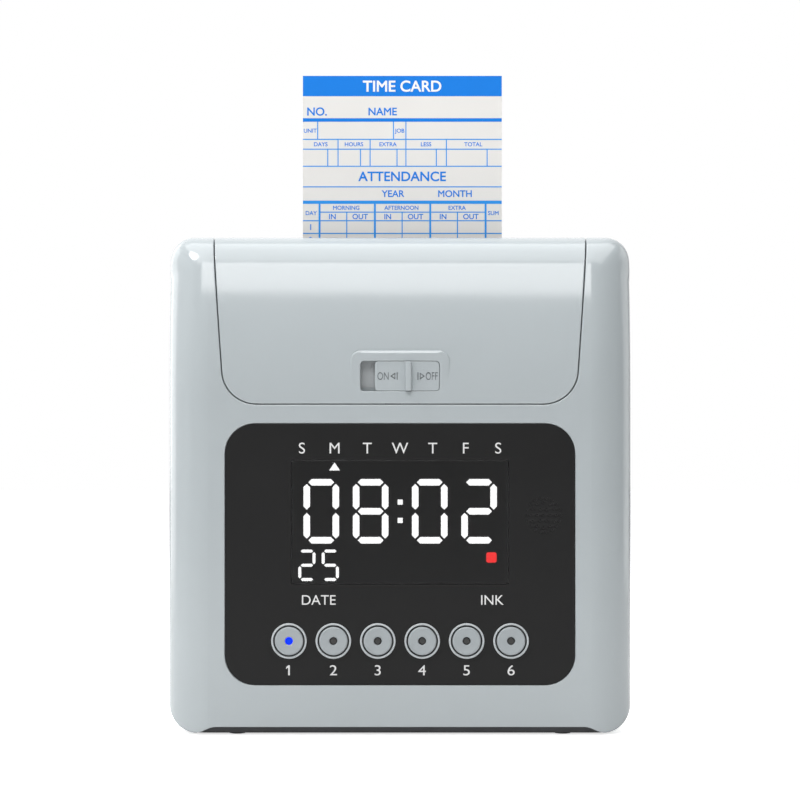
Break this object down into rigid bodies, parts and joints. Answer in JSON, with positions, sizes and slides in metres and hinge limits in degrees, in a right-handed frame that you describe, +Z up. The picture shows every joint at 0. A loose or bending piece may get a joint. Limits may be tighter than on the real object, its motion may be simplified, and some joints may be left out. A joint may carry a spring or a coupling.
{
  "type": "punch-card time clock",
  "caption": "Desk-top time clock with a hinged printer cover, slide latch, dark panel with segment display and push buttons, and a time card standing in its top slot.",
  "frame": {"origin": "on the table, under the middle of the clock's bounding box", "axes": "+X to the right seen from the front, front towards -Y, +Z up"},
  "size_m": [0.191, 0.118, 0.2758],
  "materials": {
    "case_grey": "satin moulded plastic, cool light grey",
    "bracket_grey": "plain moulded plastic",
    "base_dark": "dark grey moulded plastic",
    "foot_rubber": "black rubber",
    "bright_steel": "ground steel",
    "panel_black": "satin near-black plastic",
    "lens_smoke": "smoked clear plastic",
    "module_black": "black display body",
    "segment_white": "lit white segments",
    "lamp_red": "lit red mark",
    "board_green": "green lacquered board",
    "ring_satin": "satin metal ring",
    "button_grey": "satin grey plastic",
    "mat_rubber": "grey silicone",
    "led_blue": "lit blue lamp",
    "led_dark": "unlit lamp",
    "speaker_black": "black cone and frame",
    "screw_steel": "plated steel",
    "card_paper": "stiff white card",
    "sheet_steel": "plated steel sheet",
    "platen_rubber": "hard black rubber",
    "mech_black": "black moulded plastic",
    "head_alloy": "dark cast alloy",
    "belt_rubber": "black rubber",
    "motor_steel": "plated motor can",
    "gear_cream": "natural acetal",
    "pinion_brass": "cut brass",
    "ribbon_cloth": "inked ribbon",
    "knob_blue": "blue moulded plastic",
    "core_iron": "laminated core and wrapped winding",
    "cell_green": "sleeved cell"
  },
  "bodies": {
    "case": {"front_housing": "case_grey", "rear_housing": "case_grey", "base_plate": "base_dark", "rubber_feet": "foot_rubber", "hinge_pins": "bright_steel", "catch_spring": "bright_steel", "front_panel": "panel_black", "display_lens": "lens_smoke", "display_module": "module_black", "lit_segments": "segment_white", "ribbon_colour_lamp": "lamp_red", "front_board": "board_green", "button_rings": "ring_satin", "keypad_mat": "mat_rubber", "indicator_led_lit": "led_blue", "indicator_leds_dark": "led_dark", "speaker": "speaker_black", "board_screws": "screw_steel", "card_throat": "base_dark", "front_card_guide": "sheet_steel", "rear_card_guide": "sheet_steel", "platen": "platen_rubber", "side_frame_left": "sheet_steel", "side_frame_right": "sheet_steel", "printer_bed": "sheet_steel", "carriage_rods": "bright_steel", "carriage_belt": "belt_rubber", "carriage_motor": "motor_steel", "cradle_pins": "bright_steel", "feed_motor": "motor_steel", "main_board": "board_green", "board_components": "mech_black", "power_jack": "mech_black", "power_transformer": "core_iron", "backup_battery": "cell_green", "case_screws": "screw_steel"},
    "cover": {"top_cover": "case_grey", "latch_retainer": "bracket_grey"},
    "latch": {"latch_slider": "case_grey"},
    "card": {"time_card": "card_paper"},
    "carriage": {"carriage": "mech_black", "print_head": "head_alloy"},
    "drive_pulley": {"drive_pulley": "gear_cream"},
    "idler_pulley": {"idler_pulley": "gear_cream"},
    "ribbon": {"ribbon_cradle": "sheet_steel", "ribbon_cartridge": "mech_black", "ink_ribbon": "ribbon_cloth"},
    "ribbon_knob": {"ribbon_knob": "knob_blue"},
    "feed_roller": {"feed_shaft": "bright_steel", "feed_rollers": "belt_rubber", "feed_gear": "gear_cream"},
    "motor_pinion": {"motor_pinion": "pinion_brass"},
    "pinch_roller": {"pinch_shaft": "bright_steel", "pinch_rollers": "gear_cream"},
    "button_1": {"button_1": "button_grey"},
    "button_2": {"button_2": "button_grey"},
    "button_3": {"button_3": "button_grey"},
    "button_4": {"button_4": "button_grey"},
    "button_5": {"button_5": "button_grey"},
    "button_6": {"button_6": "button_grey"}
  },
  "joints": [
    {"name": "cover_hinge", "type": "hinge", "parent": "case", "child": "cover", "pos_m": [0, -0.001, 0.2018], "axis": [-1, 0, 0], "range_deg": [0, 90], "deforming": ["catch_spring"]},
    {"name": "latch_slide", "type": "slide", "parent": "cover", "child": "latch", "axis": [-1, 0, 0], "range_m": [0, 0.0058]},
    {"name": "button_1_press", "type": "slide", "parent": "case", "child": "button_1", "axis": [0, 1, 0], "range_m": [0, 0.0008], "stiffness_N_per_m": 600, "deforming": ["keypad_mat"]},
    {"name": "button_2_press", "type": "slide", "parent": "case", "child": "button_2", "axis": [0, 1, 0], "range_m": [0, 0.0008], "stiffness_N_per_m": 600, "deforming": ["keypad_mat"]},
    {"name": "button_3_press", "type": "slide", "parent": "case", "child": "button_3", "axis": [0, 1, 0], "range_m": [0, 0.0008], "stiffness_N_per_m": 600, "deforming": ["keypad_mat"]},
    {"name": "button_4_press", "type": "slide", "parent": "case", "child": "button_4", "axis": [0, 1, 0], "range_m": [0, 0.0008], "stiffness_N_per_m": 600, "deforming": ["keypad_mat"]},
    {"name": "button_5_press", "type": "slide", "parent": "case", "child": "button_5", "axis": [0, 1, 0], "range_m": [0, 0.0008], "stiffness_N_per_m": 600, "deforming": ["keypad_mat"]},
    {"name": "button_6_press", "type": "slide", "parent": "case", "child": "button_6", "axis": [0, 1, 0], "range_m": [0, 0.0008], "stiffness_N_per_m": 600, "deforming": ["keypad_mat"]},
    {"name": "card_slide", "type": "slide", "parent": "case", "child": "card", "axis": [0, 0, 1], "range_m": [-0.044, 0.122]},
    {"name": "carriage_slide", "type": "slide", "parent": "case", "child": "carriage", "axis": [1, 0, 0], "range_m": [-0.034, 0.034]},
    {"name": "drive_pulley_spin", "type": "hinge", "parent": "case", "child": "drive_pulley", "pos_m": [-0.046, -0.017, 0.1365], "axis": [0, 0, 1], "range_deg": [-285, 285]},
    {"name": "idler_pulley_spin", "type": "hinge", "parent": "case", "child": "idler_pulley", "pos_m": [0.046, -0.017, 0.1365], "axis": [0, 0, 1], "range_deg": [-285, 285]},
    {"name": "ribbon_tilt", "type": "hinge", "parent": "case", "child": "ribbon", "pos_m": [0, -0.0375, 0.161], "axis": [1, 0, 0], "range_deg": [0, 4]},
    {"name": "ribbon_knob_turn", "type": "hinge", "parent": "ribbon", "child": "ribbon_knob", "pos_m": [-0.04425, -0.03225, 0.178], "axis": [0, 0, 1], "continuous": true},
    {"name": "feed_spin", "type": "hinge", "parent": "case", "child": "feed_roller", "pos_m": [0, 0.00045, 0.112], "axis": [1, 0, 0], "continuous": true},
    {"name": "motor_pinion_spin", "type": "hinge", "parent": "case", "child": "motor_pinion", "pos_m": [0.065, -0.01756, 0.1016], "axis": [1, 0, 0], "continuous": true},
    {"name": "pinch_spin", "type": "hinge", "parent": "case", "child": "pinch_roller", "pos_m": [0, 0.01395, 0.112], "axis": [1, 0, 0], "continuous": true}
  ],
  "couplings": [
    {"joint": "drive_pulley_spin", "follows": "carriage_slide", "rad_per_m": -142.86},
    {"joint": "idler_pulley_spin", "follows": "carriage_slide", "rad_per_m": -142.86},
    {"joint": "motor_pinion_spin", "follows": "feed_spin", "ratio": -3.3333},
    {"joint": "pinch_spin", "follows": "feed_spin", "ratio": -1.4}
  ]
}
